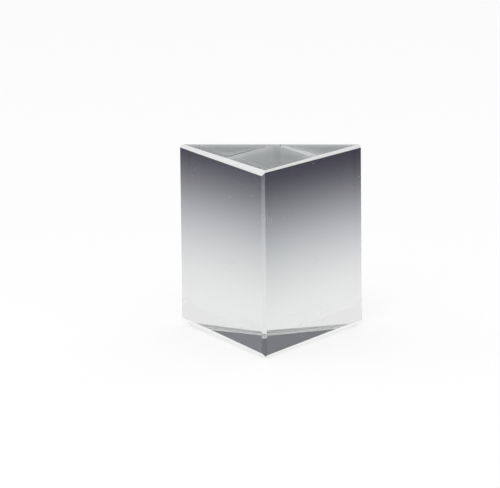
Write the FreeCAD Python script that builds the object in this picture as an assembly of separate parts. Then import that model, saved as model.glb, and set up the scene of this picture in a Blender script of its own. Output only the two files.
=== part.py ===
import FreeCAD, Part
import math
import os

# An equilateral prism of clear optical glass, standing on one of its two triangular ends.
# It is one piece, sawn and polished from a block: three flat side faces at 60 degrees to each
# other, two flat ends square to them, and nine edges ground back by hand so that they don't chip.
#
# Millimetres.  +Z runs up the length of the prism.  The origin is the middle of the lower end,
# the front upright edge points to -Y, and the back face looks towards +Y.

SIDE = 50.0      # width of each side face, between the sharp corners that the grinding took off
HEIGHT = 50.0    # length of the prism, from end to end

# Reach of each ground edge into the two faces beside it.  The bevels are flat, and most of them
# widen towards one end, because the prism was held to the wheel by hand.

# upright edges, at the foot and at the head
FRONT_REACH_FOOT = 1.32
FRONT_REACH_HEAD = 0.90
LEFT_REACH_FOOT = 0.95
LEFT_REACH_HEAD = 0.80
RIGHT_REACH_FOOT = 0.85
RIGHT_REACH_HEAD = 1.00

# edges round the upper end, named by face and corner
HEAD_LEFT_REACH_AT_FRONT = 1.24
HEAD_LEFT_REACH_AT_LEFT = 0.76
HEAD_RIGHT_REACH_AT_FRONT = 0.40
HEAD_RIGHT_REACH_AT_RIGHT = 0.78
HEAD_BACK_REACH_AT_LEFT = 0.45
HEAD_BACK_REACH_AT_RIGHT = 0.55

# edges round the lower end
FOOT_LEFT_REACH_AT_FRONT = 1.35
FOOT_LEFT_REACH_AT_LEFT = 2.20
FOOT_RIGHT_REACH_AT_FRONT = 0.90
FOOT_RIGHT_REACH_AT_RIGHT = 1.60
FOOT_BACK_REACH_AT_LEFT = 0.75
FOOT_BACK_REACH_AT_RIGHT = 0.45

RUN_OUT = 1.0    # how far the grinding runs on past both ends of an edge and clear of its faces

CORNER_RADIUS = SIDE / math.sqrt(3.0)    # from the middle of an end to its three corners

UP = FreeCAD.Vector(0, 0, 1)
DOWN = FreeCAD.Vector(0, 0, -1)


def corner(bearing, height):
    """A sharp corner of the triangle, by its bearing in degrees from +X, at a height."""
    turn = math.radians(bearing)
    return FreeCAD.Vector(CORNER_RADIUS * math.cos(turn), CORNER_RADIUS * math.sin(turn), height)


FRONT = corner(-90, 0)
RIGHT = corner(30, 0)
LEFT = corner(150, 0)
FULL_LENGTH = UP * HEIGHT


def unit(vector):
    """The same direction with a length of one."""
    return vector / vector.Length


def prism_block():
    """The prism before its edges are ground: a triangle raised to the full length."""
    outline = Part.makePolygon([FRONT, RIGHT, LEFT, FRONT])
    return Part.Face(outline).extrude(FULL_LENGTH)


def ground_off(start, end, into_one_face, into_other_face, reach_start, reach_end):
    """The glass that grinding takes off one edge.

    It is a three-sided bar along the edge from start to end.  Its inner side is the bevel, a flat
    that reaches into the two faces beside the edge by reach_start at one end of the edge and by
    reach_end at the other.  Its other sides stand clear of the prism.
    """
    along = unit(end - start)
    length = (end - start).Length
    sections = []
    for station in (-RUN_OUT, length + RUN_OUT):
        reach = reach_start + (reach_end - reach_start) * station / length
        on_edge = start + along * station
        on_one_face = on_edge + into_one_face * reach
        on_other_face = on_edge + into_other_face * reach
        across = unit(on_one_face - on_other_face) * RUN_OUT
        outside = on_edge - unit(into_one_face + into_other_face) * RUN_OUT
        section = [on_one_face + across, outside, on_other_face - across]
        sections.append(Part.makePolygon(section + section[:1]))
    return Part.makeLoft(sections, True, True)


def upright_edge(foot, neighbour, other_neighbour, reach_foot, reach_head):
    """What is ground off one upright edge, between the two side faces that meet there."""
    return ground_off(
        foot,
        foot + FULL_LENGTH,
        unit(neighbour - foot),
        unit(other_neighbour - foot),
        reach_foot,
        reach_head,
    )


def end_edge(start, end, opposite, height, reach_start, reach_end):
    """What is ground off one edge of an end, between that end and a side face.

    opposite is the third corner of the triangle, which tells which way the end face lies.
    """
    lift = UP * height
    across_end = UP.cross(unit(end - start))
    if across_end.dot(opposite - start) < 0:
        across_end = across_end * -1
    down_side = UP if height == 0 else DOWN
    return ground_off(start + lift, end + lift, across_end, down_side, reach_start, reach_end)


def glass_prism():
    """The finished prism: the block less what was ground off its nine edges."""
    ground = [
        upright_edge(FRONT, LEFT, RIGHT, FRONT_REACH_FOOT, FRONT_REACH_HEAD),
        upright_edge(LEFT, FRONT, RIGHT, LEFT_REACH_FOOT, LEFT_REACH_HEAD),
        upright_edge(RIGHT, FRONT, LEFT, RIGHT_REACH_FOOT, RIGHT_REACH_HEAD),
        end_edge(FRONT, LEFT, RIGHT, HEIGHT, HEAD_LEFT_REACH_AT_FRONT, HEAD_LEFT_REACH_AT_LEFT),
        end_edge(FRONT, RIGHT, LEFT, HEIGHT, HEAD_RIGHT_REACH_AT_FRONT, HEAD_RIGHT_REACH_AT_RIGHT),
        end_edge(LEFT, RIGHT, FRONT, HEIGHT, HEAD_BACK_REACH_AT_LEFT, HEAD_BACK_REACH_AT_RIGHT),
        end_edge(FRONT, LEFT, RIGHT, 0, FOOT_LEFT_REACH_AT_FRONT, FOOT_LEFT_REACH_AT_LEFT),
        end_edge(FRONT, RIGHT, LEFT, 0, FOOT_RIGHT_REACH_AT_FRONT, FOOT_RIGHT_REACH_AT_RIGHT),
        end_edge(LEFT, RIGHT, FRONT, 0, FOOT_BACK_REACH_AT_LEFT, FOOT_BACK_REACH_AT_RIGHT),
    ]
    prism = prism_block()
    for bar in ground:
        prism = prism.cut(bar)
    return prism.Solids[0]


os.makedirs("parts", exist_ok=True)
prism = glass_prism()
prism.exportStep("parts/glass_prism.step")
print("glass_prism", prism.isValid(), len(prism.Faces), "faces", round(prism.Volume, 1), "mm3")
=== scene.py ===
import math
import random

import bmesh
import bpy
from bpy.props import FloatProperty, FloatVectorProperty, IntProperty, PointerProperty
from mathutils import Matrix, Vector


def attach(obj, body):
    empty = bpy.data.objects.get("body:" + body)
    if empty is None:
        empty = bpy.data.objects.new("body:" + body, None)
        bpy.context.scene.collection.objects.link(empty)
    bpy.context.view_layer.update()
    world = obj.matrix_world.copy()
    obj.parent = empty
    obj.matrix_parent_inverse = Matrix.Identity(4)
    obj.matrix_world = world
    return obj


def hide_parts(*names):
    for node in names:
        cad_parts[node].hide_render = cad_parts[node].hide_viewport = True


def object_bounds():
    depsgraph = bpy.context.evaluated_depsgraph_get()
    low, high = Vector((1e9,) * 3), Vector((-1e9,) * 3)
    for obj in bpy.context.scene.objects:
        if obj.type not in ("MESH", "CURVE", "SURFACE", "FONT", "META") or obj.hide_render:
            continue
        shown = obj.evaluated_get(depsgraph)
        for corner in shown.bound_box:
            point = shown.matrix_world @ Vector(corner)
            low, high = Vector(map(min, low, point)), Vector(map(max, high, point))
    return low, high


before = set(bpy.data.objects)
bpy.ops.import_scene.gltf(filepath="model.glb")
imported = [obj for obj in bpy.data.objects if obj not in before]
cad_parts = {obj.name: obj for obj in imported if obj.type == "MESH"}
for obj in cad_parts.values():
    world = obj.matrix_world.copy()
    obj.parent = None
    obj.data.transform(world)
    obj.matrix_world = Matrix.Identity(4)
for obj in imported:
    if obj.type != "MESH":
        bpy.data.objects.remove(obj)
CAD_LOW, CAD_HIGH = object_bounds()

bl_info = {
    "name": "Glass Prism",
    "version": (1, 0, 0),
    "blender": (4, 5, 0),
    "location": "View3D > Sidebar > Prism",
    "description": "Finishes a triangular glass prism with ground edges and sets it on a pale stage",
    "category": "Object",
}

MM = 0.001
WHITE = (1, 1, 1)
NODE = "glass_prism"

# The photograph's frame, and where the middle of the prism comes in it, in pixels.
FRAME_WIDTH = 500
FRAME_HEIGHT = 488
PRISM_MIDDLE_X = 268.8
PRISM_MIDDLE_Y = 244.93

FLAT_FACES = 14                          # three sides, two ends and nine bevels
SIDE_BEARINGS = (-30, 90, 210)           # where the sides look, in degrees from +X
WELD = 0.001 * MM                        # corners of the CAD mesh that lie closer than this are one
FLAT_WITHIN = math.radians(0.2)          # triangles that differ by less than this are one flat face
SLIVER = 0.0005 * MM                     # shorter edges, which the chips leave, are dissolved
POLISHED_WITHIN = math.radians(0.5)      # a face that leans less than this from a side or an end
UPRIGHT_WITHIN = math.radians(5)         # a bevel that leans less than this is on an upright edge
COARSEST = 1.0                           # how coarse the edges round the top are
ARRIS_SEGMENTS = 2

# Chips are balls that bite into the arrises.  Each pair of numbers is the least and the most.
CHIP_SEED = 7
CHIP_SIZES = (0.3, 1.0)                  # as shares of the largest
CHIP_PLACES = (0.04, 0.96)               # along the edge, from one end to the other
CHIP_STANDS_OUT = (0.25, 0.38)           # middle of the ball outside the edge, in its own radii
CHIP_LENGTHS = (0.6, 1.3)                # along the edge, over the ball's radius
CHIP_THICKNESS = 0.55                    # across the edge, over the ball's radius
CHIP_SUBDIVISIONS = 2

# Marks of handling.  A face has about ten specks of up to 0.3 mm and twice as many of half that.
# Real scratches are a few hundredths of a millimetre wide and are drawn at 0.15 mm, so that they
# show.  They lean by an angle in radians and lie only in the handled patches.
LARGE_SPECKS = {"spacing_mm": 1.6, "radius_mm": 0.16, "share": 0.05}
SMALL_SPECKS = {"spacing_mm": 1.0, "radius_mm": 0.08, "share": 0.05}
HANDLED_PATCHES = {"spacing_mm": 15, "radius_mm": 3, "share": 0.25}
SCRATCHES = {"lean": 0.35, "width_mm": 0.15, "length_mm": 3, "share": 0.26}
MARK_ROUGHNESS = 0.45

# The grain that the grinding wheel leaves on the edges.
GRAIN_MM = 0.2
GRAIN_DEPTH_MM = 0.02
GRAIN_DETAIL = 3.0
GRAIN_STRENGTH = 0.1

# How far a line of sight turns aside, from 0 for straight ahead or back to 1 for square to the side.
AHEAD_TO_ASIDE = (0.1, 0.6)
WALL_CORNER = (0.67, 0.73)

# In metres.
LAMP_SIZE = 0.6
LAMP_PLACE = (-0.1, -0.8, 0.85)
CAMERA_REACH = 100

FLOOR_SEGMENTS = 64

# A Mix node's two colours are its inputs of these numbers, and their mixture is this output.
MIX_FROM = 6
MIX_TO = 7
MIX_RESULT = 2

# Light turns many corners inside a prism, and each total reflection counts as a glossy bounce.
ALL_BOUNCES = 32
GLASS_BOUNCES = 24


def linear(value):
    """One sRGB channel, 0 to 1, as linear light."""
    return value / 12.92 if value <= 0.04045 else ((value + 0.055) / 1.055) ** 2.4


def shade(hex_code):
    """An sRGB hex colour as linear red, green and blue."""
    return tuple(linear(int(hex_code[i:i + 2], 16) / 255) for i in (0, 2, 4))


def length_setting(name, description, default_mm):
    """A size that a user may change, held in metres."""
    return FloatProperty(
        name=name, description=description, default=default_mm * MM, min=0, unit="LENGTH", precision=5
    )


def place_setting(name, description, default_mm):
    """A place that a user may change, held in metres, which may lie either way."""
    return FloatProperty(name=name, description=description, default=default_mm * MM, unit="LENGTH")


def colour_setting(name, description, hex_code):
    """A colour that a user may change."""
    return FloatVectorProperty(
        name=name, description=description, default=shade(hex_code), subtype="COLOR", min=0, max=1
    )


def angle_setting(name, description, degrees):
    """An angle that a user may change."""
    return FloatProperty(name=name, description=description, default=math.radians(degrees), unit="ROTATION")


def share_setting(name, description, default):
    """A share from 0 to 1 that a user may change."""
    return FloatProperty(name=name, description=description, default=default, min=0, max=1)


class PrismGlassSettings(bpy.types.PropertyGroup):
    """The finish of the glass."""

    refractive_index: FloatProperty(
        name="Refractive index",
        description="How strongly the glass bends light",
        default=1.50,
        min=1,
        max=2.5,
    )
    body_tint: colour_setting("Body tint", "What is left of white light after the tint path", "F4F9F6")
    tint_path: length_setting("Tint path", "Length of glass that shows the body tint once", 100)
    ground_roughness: share_setting("Ground roughness", "How matt the edges round the top are", 0.5)
    ground_scatter: share_setting(
        "Ground scatter", "Share of light that the edges round the top scatter", 0.7
    )
    upright_finish: share_setting(
        "Upright finish", "Coarseness of the upright edges beside the top ones", 0.08
    )
    foot_finish: share_setting(
        "Foot finish", "Coarseness of the two front lower edges beside the top ones", 0.15
    )
    back_foot_finish: share_setting(
        "Back foot finish", "Coarseness of the back lower edge beside the top ones", 0.7
    )
    mark_scatter: share_setting("Mark scatter", "Share of light that specks and scratches scatter", 0.5)
    arris_width: length_setting("Arris width", "Rounding worn along every sharp line", 0.07)
    chip_size: length_setting("Chip size", "Radius of the largest ball that bites out a chip", 0.5)
    chip_count: IntProperty(name="Chips", description="Small chips along the arrises", default=26, min=0)


class PrismStageSettings(bpy.types.PropertyGroup):
    """The floor and the light.  Heights in the room are angles above the level."""

    floor_radius: length_setting("Floor radius", "Half the width of the floor", 3000)
    floor_gap: length_setting("Air film", "Gap between the floor and the lower end", 0.15)
    # The paper's colour grades from pale near the prism to dark far off: a pool of light and its falloff,
    # painted on the floor. The camera sees the paper white.
    paper: colour_setting("Paper", "The floor beside the prism", "EDEDED")
    half_shade: colour_setting("Half shade", "The floor where the pool of light has half faded", "B3B4B8")
    surround: colour_setting("Surround", "The floor far off, seen only through the glass", "403E4B")
    pool_inner: length_setting("Pool inside", "Where the paper starts to grade darker", 40)
    pool_outer: length_setting("Pool outside", "Where the paper has graded to the surround", 270)
    pool_stretch: FloatProperty(
        name="Pool stretch", description="Length of the pool over its width", default=1.375, min=0.1
    )
    pool_across: place_setting("Pool across", "Middle of the pool, to the right of the prism", 15)
    pool_back: place_setting("Pool back", "Middle of the pool, back from the prism", -40)
    glow_share: share_setting("Glow share", "Share of the floor's tone that takes no shadow", 0.7)
    glow_in_glass: share_setting("Glow in glass", "The same share, as seen through or in the glass", 0.9)
    # A contact shade under the prism, partly painted: the floor's painted glow is cut back in a soft-edged
    # triangle there.
    glow_under_it: share_setting("Glow under it", "How much of that share is left under the prism", 0.36)
    contact_inset: length_setting("Contact inset", "From the side faces in to the edge of the shade", 3.5)
    contact_softness: length_setting("Contact softness", "Half the width of the edge of the shade", 3.0)
    room_low: colour_setting("Room low", "The lowest part of the room, straight behind the prism", "818186")
    room_low_top: angle_setting("Room low top", "Height at which the low part ends", 9.8)
    room_ahead_start: angle_setting("Room ahead start", "Height at which the next part starts", 11)
    room_ahead: colour_setting("Room ahead", "The next part up, straight behind the prism", "5B5B60")
    room_aside: colour_setting("Room aside", "The low part of the room, to both sides", "6B6B71")
    ceiling_start: angle_setting("Ceiling start", "Height at which the ceiling starts", 19)
    ceiling_full: angle_setting("Ceiling full", "Height at which the ceiling is all white", 25)
    side_wall: colour_setting("Side wall", "The wall to the right, under the ceiling", "6E6E72")
    wall_top: angle_setting("Wall top", "Height at which the wall starts to give way to the ceiling", 42)
    over_wall: angle_setting("Over the wall", "Height at which the ceiling is all white over the wall", 48)
    overhead: FloatProperty(name="Overhead", description="Brightness of the ceiling", default=1.0, min=0)
    lamp_power: FloatProperty(
        name="Lamp power", description="Power of the soft lamp", default=3.2, min=0, unit="POWER"
    )


class PrismCameraSettings(bpy.types.PropertyGroup):
    """Where the prism is seen from."""

    azimuth: angle_setting("Azimuth", "Turn of the camera round the prism, from straight in front", 2.77)
    elevation: angle_setting("Elevation", "Height of the camera above the level", 11.19)
    roll: angle_setting("Roll", "Lean of the camera about its line of sight", 0.52)
    distance: length_setting("Distance", "From the middle of the prism", 937)
    lens: FloatProperty(name="Lens", description="Focal length, in mm", default=251.3, min=1)
    sensor: FloatProperty(name="Sensor", description="Width of the film, in mm", default=36, min=1)


def with_alpha(colour):
    """A colour as four channels."""
    return (*colour, 1)


def add_node(tree, kind, settings=(), inputs=()):
    """Adds a node with its settings, and its inputs as values or as links from other nodes' sockets.

    A colour is given by its three channels.
    """
    node = tree.nodes.new(kind)
    for name, value in dict(settings).items():
        setattr(node, name, value)
    for name, value in dict(inputs).items():
        socket = node.inputs[name]
        if isinstance(value, bpy.types.NodeSocket):
            tree.links.new(value, socket)
        elif socket.type == "RGBA":
            socket.default_value = with_alpha(value)
        else:
            socket.default_value = value
    return node


def empty_tree(owner):
    """The node tree of a material or a world, with nothing in it."""
    owner.use_nodes = True
    owner.node_tree.nodes.clear()
    return owner.node_tree


def pattern_scale(size_mm):
    """Texture scale at which one cell of a pattern is that wide."""
    return 1 / (size_mm * MM)


def strongest(tree, *parts):
    """The largest of several values, each times a weight of its own."""
    most = None
    for value, weight in parts:
        part = add_node(tree, "ShaderNodeMath", {"operation": "MULTIPLY"}, {0: value, 1: weight}).outputs[0]
        if most is None:
            most = part
        else:
            most = add_node(tree, "ShaderNodeMath", {"operation": "MAXIMUM"}, {0: most, 1: part}).outputs[0]
    return most


def graded(tree, value, limits, tone, next_tone):
    """One tone that grades into the next as a value rises from one limit to the other."""
    low, high = limits
    share = add_node(
        tree,
        "ShaderNodeMapRange",
        {"interpolation_type": "SMOOTHSTEP"},
        {"Value": value, "From Min": low, "From Max": high},
    ).outputs["Result"]
    return add_node(
        tree, "ShaderNodeMix", {"data_type": "RGBA"}, {"Factor": share, MIX_FROM: tone, MIX_TO: next_tone}
    ).outputs[MIX_RESULT]


def white_to_camera(tree, tone):
    """White where the camera looks straight at it, and the tone for everything else."""
    camera = add_node(tree, "ShaderNodeLightPath").outputs["Is Camera Ray"]
    return add_node(
        tree, "ShaderNodeMix", {"data_type": "RGBA"}, {"Factor": camera, MIX_FROM: tone, MIX_TO: WHITE}
    ).outputs[MIX_RESULT]


def specks(tree, place, spacing_mm, radius_mm, share):
    """A mask of small round specks, in a given share of the cells of a grid of that spacing."""
    cells = add_node(
        tree,
        "ShaderNodeTexVoronoi",
        {"feature": "F1"},
        {"Vector": place, "Scale": pattern_scale(spacing_mm)},
    ).outputs
    draw = add_node(tree, "ShaderNodeSeparateColor", {}, {"Color": cells["Color"]}).outputs["Red"]
    reach = radius_mm / spacing_mm
    inside = add_node(tree, "ShaderNodeMath", {"operation": "LESS_THAN"}, {0: cells["Distance"], 1: reach})
    chosen = add_node(tree, "ShaderNodeMath", {"operation": "LESS_THAN"}, {0: draw, 1: share})
    return add_node(
        tree, "ShaderNodeMath", {"operation": "MULTIPLY"}, {0: inside.outputs[0], 1: chosen.outputs[0]}
    ).outputs[0]


def scratches(tree, place, lean, width_mm, length_mm, share):
    """A mask of fine straight scratches, where a stretched noise is in the top share of its range."""
    run = add_node(
        tree,
        "ShaderNodeMapping",
        {},
        {
            "Vector": place,
            "Rotation": (lean, lean, 0),
            "Scale": (1 / width_mm, 1 / width_mm, 1 / length_mm),
        },
    ).outputs["Vector"]
    streaks = add_node(
        tree, "ShaderNodeTexNoise", {}, {"Vector": run, "Scale": pattern_scale(1), "Detail": 0.0}
    ).outputs["Fac"]
    return add_node(
        tree, "ShaderNodeMath", {"operation": "GREATER_THAN"}, {0: streaks, 1: 1 - share}
    ).outputs[0]


def polished_optical_glass(settings):
    """Optical glass, pitch-polished on its faces and fine-ground along its edges.

    The faces are clear enough to act as mirrors from inside.  They carry a few specks and short
    scratches from handling.  The ground edges blur what is seen through them, and light catches
    on them as a pale line.
    """
    material = bpy.data.materials.new("polished_optical_glass")
    tree = empty_tree(material)
    place = add_node(tree, "ShaderNodeTexCoord").outputs["Object"]
    ground = add_node(tree, "ShaderNodeAttribute", {"attribute_name": "ground"}).outputs["Fac"]

    marks = strongest(
        tree,
        (specks(tree, place, **LARGE_SPECKS), 1.0),
        (specks(tree, place, **SMALL_SPECKS), 1.0),
        (scratches(tree, place, **SCRATCHES), specks(tree, place, **HANDLED_PATCHES)),
    )

    # The ground edges and the marks are rougher than the polished faces, and paler, because they
    # scatter light.
    roughness = strongest(tree, (marks, MARK_ROUGHNESS), (ground, settings.ground_roughness))
    scatter = strongest(tree, (marks, settings.mark_scatter), (ground, settings.ground_scatter))
    clear = add_node(tree, "ShaderNodeMath", {"operation": "SUBTRACT"}, {0: 1.0, 1: scatter}).outputs[0]

    grain = add_node(
        tree,
        "ShaderNodeTexNoise",
        {},
        {"Vector": place, "Scale": pattern_scale(GRAIN_MM), "Detail": GRAIN_DETAIL},
    ).outputs["Fac"]
    relief = add_node(tree, "ShaderNodeMath", {"operation": "MULTIPLY"}, {0: grain, 1: ground}).outputs[0]
    bump = add_node(
        tree,
        "ShaderNodeBump",
        {},
        {"Height": relief, "Strength": GRAIN_STRENGTH, "Distance": GRAIN_DEPTH_MM * MM},
    ).outputs["Normal"]

    surface = add_node(
        tree,
        "ShaderNodeBsdfPrincipled",
        {},
        {
            "Base Color": WHITE,
            "Transmission Weight": clear,
            "IOR": settings.refractive_index,
            "Roughness": roughness,
            "Normal": bump,
        },
    )
    body = add_node(
        tree,
        "ShaderNodeVolumeAbsorption",
        {},
        {"Color": settings.body_tint, "Density": 1 / settings.tint_path},
    )
    add_node(
        tree,
        "ShaderNodeOutputMaterial",
        {},
        {"Surface": surface.outputs["BSDF"], "Volume": body.outputs["Volume"]},
    )
    return material


def side_directions():
    """The outward normals of the three side faces."""
    turns = [math.radians(bearing) for bearing in SIDE_BEARINGS]
    return [Vector((math.cos(turn), math.sin(turn), 0)) for turn in turns]


def mark_ground_faces(bm, settings):
    """Marks how coarsely each face is ground: not at all on the five polished ones, and most at the top."""
    middle = (CAD_LOW.z + CAD_HIGH.z) / 2
    ground = bm.faces.layers.float.get("ground") or bm.faces.layers.float.new("ground")
    polished = [*side_directions(), Vector((0, 0, 1)), Vector((0, 0, -1))]
    for face in bm.faces:
        if max(face.normal.dot(direction) for direction in polished) > math.cos(POLISHED_WITHIN):
            face[ground] = 0.0
        elif abs(face.normal.z) < math.sin(UPRIGHT_WITHIN):
            face[ground] = settings.upright_finish
        elif face.calc_center_median().z > middle:
            face[ground] = COARSEST
        elif face.normal.y < 0:
            face[ground] = settings.foot_finish
        else:
            face[ground] = settings.back_foot_finish


def mesh_object(name, bm):
    """A new object at the origin that holds the bmesh, which is freed."""
    mesh = bpy.data.meshes.new(name)
    bm.to_mesh(mesh)
    bm.free()
    made = bpy.data.objects.new(name, mesh)
    bpy.context.scene.collection.objects.link(made)
    return made


def flat_faced_prism():
    """A copy of the CAD solid with its loose triangles joined into flat faces."""
    bm = bmesh.new()
    bm.from_mesh(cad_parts[NODE].data)
    bmesh.ops.remove_doubles(bm, verts=bm.verts, dist=WELD)
    bmesh.ops.dissolve_limit(bm, angle_limit=FLAT_WITHIN, verts=bm.verts, edges=bm.edges)
    if len(bm.faces) != FLAT_FACES:
        raise RuntimeError(f"the prism should have {FLAT_FACES} flat faces, but has {len(bm.faces)}")
    return bm


def long_edges(bm):
    """The two ends of each edge over half as long as the prism, and the way out of the glass there."""
    lines = []
    for edge in bm.edges:
        if edge.calc_length() > (CAD_HIGH.z - CAD_LOW.z) / 2:
            outward = sum((face.normal for face in edge.link_faces), Vector()).normalized()
            lines.append((edge.verts[0].co.copy(), edge.verts[1].co.copy(), outward))
    return lines


def chip_cutter(lines, settings):
    """Small flattened balls that bite shallow scoops out of the arrises."""
    draw = random.Random(CHIP_SEED)
    cutter = bmesh.new()
    for _ in range(settings.chip_count):
        start, end, outward = draw.choice(lines)
        size = settings.chip_size * draw.uniform(*CHIP_SIZES)
        along = (end - start).normalized()
        on_edge = start.lerp(end, draw.uniform(*CHIP_PLACES))
        centre = on_edge + outward * size * draw.uniform(*CHIP_STANDS_OUT)
        turn = along.to_track_quat("X", "Z").to_matrix().to_4x4()
        stretch = Matrix.Diagonal((draw.uniform(*CHIP_LENGTHS), CHIP_THICKNESS, CHIP_THICKNESS, 1))
        bmesh.ops.create_icosphere(
            cutter,
            subdivisions=CHIP_SUBDIVISIONS,
            radius=size,
            matrix=Matrix.Translation(centre) @ turn @ stretch,
        )
    return mesh_object("chip_cutter", cutter)


def chipped_mesh(piece, cutter):
    """The piece's mesh with the cutter taken off it.  The cutter is deleted."""
    bite = piece.modifiers.new("chips", "BOOLEAN")
    bite.operation = "DIFFERENCE"
    bite.solver = "EXACT"
    bite.object = cutter
    bite.use_self = True
    cut = bpy.data.meshes.new_from_object(piece.evaluated_get(bpy.context.evaluated_depsgraph_get()))
    piece.modifiers.clear()
    bpy.data.objects.remove(cutter)
    return cut


class PRISM_OT_finish_glass(bpy.types.Operator):
    """Finish the glass prism: worn arrises, small chips, polished faces and ground edges"""

    bl_idname = "prism.finish_glass"
    bl_label = "Finish the glass"

    def execute(self, context):
        settings = context.scene.prism_glass
        bm = flat_faced_prism()
        lines = long_edges(bm)
        bmesh.ops.bevel(
            bm,
            geom=bm.edges[:],
            offset=settings.arris_width,
            offset_type="OFFSET",
            segments=ARRIS_SEGMENTS,
            profile=0.5,
            affect="EDGES",
            clamp_overlap=True,
            material=-1,
        )
        piece = mesh_object("finished_prism", bm)
        chipped = chipped_mesh(piece, chip_cutter(lines, settings))
        bm = bmesh.new()
        bm.from_mesh(chipped)
        bmesh.ops.dissolve_degenerate(bm, edges=bm.edges, dist=SLIVER)
        mark_ground_faces(bm, settings)
        bm.to_mesh(piece.data)
        bm.free()
        piece.data.materials.clear()
        piece.data.materials.append(polished_optical_glass(settings))
        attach(piece, "root")
        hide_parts(NODE)
        return {"FINISHED"}


def painted_pool_of_light(tree, place, settings):
    """The paper's colour with a pool of light painted on it: pale in the middle and painted darker
    outwards, in a pool longer from front to back than it is wide.
    """
    pool = add_node(
        tree,
        "ShaderNodeMapping",
        {"vector_type": "TEXTURE"},
        {
            "Vector": place,
            "Location": (settings.pool_across, settings.pool_back, 0),
            "Scale": (1, settings.pool_stretch, 1),
        },
    ).outputs["Vector"]
    away = add_node(tree, "ShaderNodeVectorMath", {"operation": "LENGTH"}, {0: pool}).outputs["Value"]
    grade = add_node(
        tree,
        "ShaderNodeMapRange",
        {"interpolation_type": "SMOOTHSTEP"},
        {"Value": away, "From Min": settings.pool_inner, "From Max": settings.pool_outer},
    ).outputs["Result"]
    # Painted falloff of the pool of light: the paper's colour, then a painted half shade, then the painted
    # dark of the far floor.
    ramp = add_node(tree, "ShaderNodeValToRGB", {}, {"Fac": grade})
    stops = ramp.color_ramp.elements
    stops[0].color = with_alpha(settings.paper)
    stops[1].color = with_alpha(settings.surround)
    stops.new(0.5).color = with_alpha(settings.half_shade)
    return ramp.outputs["Color"]


def glow_kept(tree, place, settings):
    """The share of the painted glow that is left: all of it, but for the soft-edged triangle under the
    prism.

    Where the prism stands, most of the paper's light is what comes down through the glass.  Cutting the
    glow back there gives a contact shade that is partly real, from that light, and partly painted, in the
    triangle's shape.
    """
    reaches = []
    for direction in side_directions():
        reach = add_node(
            tree, "ShaderNodeVectorMath", {"operation": "DOT_PRODUCT"}, {0: place, 1: direction}
        ).outputs["Value"]
        reaches.append((reach, 1.0))
    # The three side faces are all as far from the middle as the back one.
    edge = CAD_HIGH.y - settings.contact_inset
    return add_node(
        tree,
        "ShaderNodeMapRange",
        {"interpolation_type": "SMOOTHSTEP"},
        {
            "Value": strongest(tree, *reaches),
            "From Min": edge - settings.contact_softness,
            "From Max": edge + settings.contact_softness,
            "To Min": settings.glow_under_it,
            "To Max": 1.0,
        },
    ).outputs["Result"]


def paper_with_painted_pool(settings):
    """Pale matt paper with a pool of light painted on it, partly as glow that takes no shadow.

    The camera sees white paper with the prism's shadow on it.  The glass also shows the paper
    beyond the pool, where its colour is painted darker and grades to the dark of the room, and so gets its
    grey faces.
    """
    material = bpy.data.materials.new("paper_with_painted_pool")
    tree = empty_tree(material)
    place = add_node(tree, "ShaderNodeTexCoord").outputs["Object"]
    path = add_node(tree, "ShaderNodeLightPath").outputs
    tone = white_to_camera(tree, painted_pool_of_light(tree, place, settings))
    paper = add_node(tree, "ShaderNodeBsdfDiffuse", {}, {"Color": tone}).outputs[0]
    glow = add_node(tree, "ShaderNodeEmission", {}, {"Color": tone, "Strength": 1.0}).outputs[0]
    share = strongest(
        tree,
        (path["Is Camera Ray"], settings.glow_share),
        (path["Is Glossy Ray"], settings.glow_in_glass),
        (path["Is Transmission Ray"], settings.glow_in_glass),
    )
    share = add_node(
        tree, "ShaderNodeMath", {"operation": "MULTIPLY"}, {0: share, 1: glow_kept(tree, place, settings)}
    ).outputs[0]
    surface = add_node(tree, "ShaderNodeMixShader", {}, {"Fac": share, 1: paper, 2: glow}).outputs[0]
    add_node(tree, "ShaderNodeOutputMaterial", {}, {"Surface": surface})
    return material


def upward_parts(start, full):
    """How much of a line of sight points upwards, at two heights above the level."""
    return math.sin(start), math.sin(full)


def light_the_room(settings):
    """A dim room under a low white ceiling, with a grey wall to the right.  The camera sees white."""
    world = bpy.data.worlds.new("studio")
    tree = empty_tree(world)
    direction = add_node(tree, "ShaderNodeTexCoord").outputs["Generated"]
    part = add_node(tree, "ShaderNodeSeparateXYZ", {}, {"Vector": direction}).outputs
    aside = add_node(tree, "ShaderNodeMath", {"operation": "ABSOLUTE"}, {0: part["X"]}).outputs[0]

    low_room_ends = upward_parts(settings.room_low_top, settings.room_ahead_start)
    ceiling_begins = upward_parts(settings.ceiling_start, settings.ceiling_full)
    wall_ends = upward_parts(settings.wall_top, settings.over_wall)
    ceiling = (settings.overhead,) * 3

    ahead = graded(tree, part["Z"], low_room_ends, settings.room_low, settings.room_ahead)
    room = graded(tree, aside, AHEAD_TO_ASIDE, ahead, settings.room_aside)
    open_side = graded(tree, part["Z"], ceiling_begins, room, ceiling)
    wall_side = graded(tree, part["Z"], ceiling_begins, room, settings.side_wall)
    wall_side = graded(tree, part["Z"], wall_ends, wall_side, ceiling)
    lit = graded(tree, part["X"], WALL_CORNER, open_side, wall_side)

    shown = white_to_camera(tree, lit)
    surface = add_node(tree, "ShaderNodeBackground", {}, {"Color": shown, "Strength": 1.0}).outputs[0]
    add_node(tree, "ShaderNodeOutputWorld", {}, {"Surface": surface})
    bpy.context.scene.world = world


def hang_the_lamp(settings):
    """One wide soft lamp, high up and a little in front of the prism."""
    lamp = bpy.data.lights.new("soft_lamp", "AREA")
    lamp.shape = "SQUARE"
    lamp.size = LAMP_SIZE
    lamp.energy = settings.lamp_power
    holder = bpy.data.objects.new("soft_lamp", lamp)
    holder.location = LAMP_PLACE
    holder.rotation_euler = (-holder.location).to_track_quat("-Z", "Y").to_euler()
    # The prism would show it as small bright squares.
    holder.visible_glossy = False
    holder.visible_transmission = False
    bpy.context.scene.collection.objects.link(holder)


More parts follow.
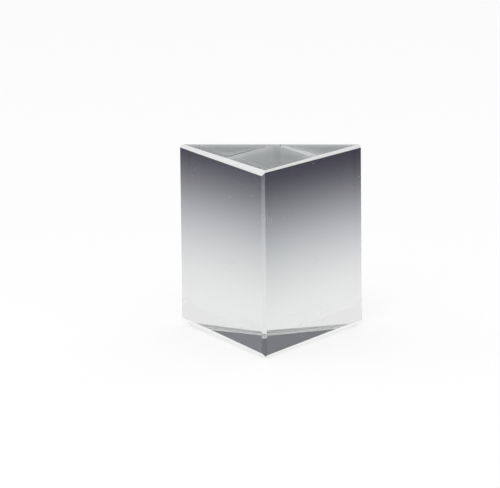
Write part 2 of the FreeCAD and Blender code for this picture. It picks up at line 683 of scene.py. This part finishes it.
def place_the_camera(settings):
    """Sets the camera at the photograph's angle, with the prism where the photograph has it."""
    middle = (CAD_LOW + CAD_HIGH) / 2
    middle.y = 0
    back = Vector((
        math.sin(settings.azimuth) * math.cos(settings.elevation),
        -math.cos(settings.azimuth) * math.cos(settings.elevation),
        math.sin(settings.elevation),
    ))
    eye = middle + back * settings.distance
    level = (-back).to_track_quat("-Z", "Y")
    pixel = settings.sensor / settings.lens / FRAME_WIDTH * settings.distance
    off_centre = Vector((PRISM_MIDDLE_X - FRAME_WIDTH / 2, FRAME_HEIGHT / 2 - PRISM_MIDDLE_Y, 0)) * pixel
    aim = middle - level @ off_centre
    turn = (aim - eye).to_track_quat("-Z", "Y").to_matrix() @ Matrix.Rotation(-settings.roll, 3, "Z")
    data = bpy.data.cameras.new("camera")
    data.lens = settings.lens
    data.sensor_width = settings.sensor
    data.clip_end = CAMERA_REACH
    camera = bpy.data.objects.new("camera", data)
    camera.location = eye
    camera.rotation_euler = turn.to_euler()
    bpy.context.scene.collection.objects.link(camera)
    bpy.context.scene.camera = camera


class PRISM_OT_set_stage(bpy.types.Operator):
    """Lay the pale floor, light it softly and place the camera"""

    bl_idname = "prism.set_stage"
    bl_label = "Set the stage"

    def execute(self, context):
        settings = context.scene.prism_stage
        bm = bmesh.new()
        bmesh.ops.create_circle(
            bm,
            cap_ends=True,
            segments=FLOOR_SEGMENTS,
            radius=settings.floor_radius,
            matrix=Matrix.Translation((0, 0, -settings.floor_gap)),
        )
        floor = mesh_object("floor", bm)
        floor.data.materials.append(paper_with_painted_pool(settings))
        light_the_room(settings)
        hang_the_lamp(settings)
        place_the_camera(context.scene.prism_camera)
        context.scene.view_settings.view_transform = "Standard"
        cycles = context.scene.cycles
        cycles.max_bounces = ALL_BOUNCES
        cycles.glossy_bounces = GLASS_BOUNCES
        cycles.transmission_bounces = GLASS_BOUNCES
        return {"FINISHED"}


class PRISM_PT_panel(bpy.types.Panel):
    """The prism's settings, with a button for each step"""

    bl_idname = "PRISM_PT_panel"
    bl_label = "Glass Prism"
    bl_space_type = "VIEW_3D"
    bl_region_type = "UI"
    bl_category = "Prism"

    def draw(self, context):
        steps = (
            (("prism_glass",), PRISM_OT_finish_glass),
            (("prism_stage", "prism_camera"), PRISM_OT_set_stage),
        )
        for groups, operator in steps:
            box = self.layout.box()
            for group in groups:
                settings = getattr(context.scene, group)
                for setting in settings.bl_rna.properties.keys():
                    if setting not in ("rna_type", "name"):
                        box.prop(settings, setting)
            box.operator(operator.bl_idname)


CLASSES = (
    PrismGlassSettings,
    PrismStageSettings,
    PrismCameraSettings,
    PRISM_OT_finish_glass,
    PRISM_OT_set_stage,
    PRISM_PT_panel,
)


def register():
    for cls in CLASSES:
        bpy.utils.register_class(cls)
    bpy.types.Scene.prism_glass = PointerProperty(type=PrismGlassSettings)
    bpy.types.Scene.prism_stage = PointerProperty(type=PrismStageSettings)
    bpy.types.Scene.prism_camera = PointerProperty(type=PrismCameraSettings)


def unregister():
    del bpy.types.Scene.prism_glass
    del bpy.types.Scene.prism_stage
    del bpy.types.Scene.prism_camera
    for cls in reversed(CLASSES):
        bpy.utils.unregister_class(cls)


def main():
    register()
    bpy.ops.prism.finish_glass()
    bpy.ops.prism.set_stage()


if __name__ == "__main__":
    main()
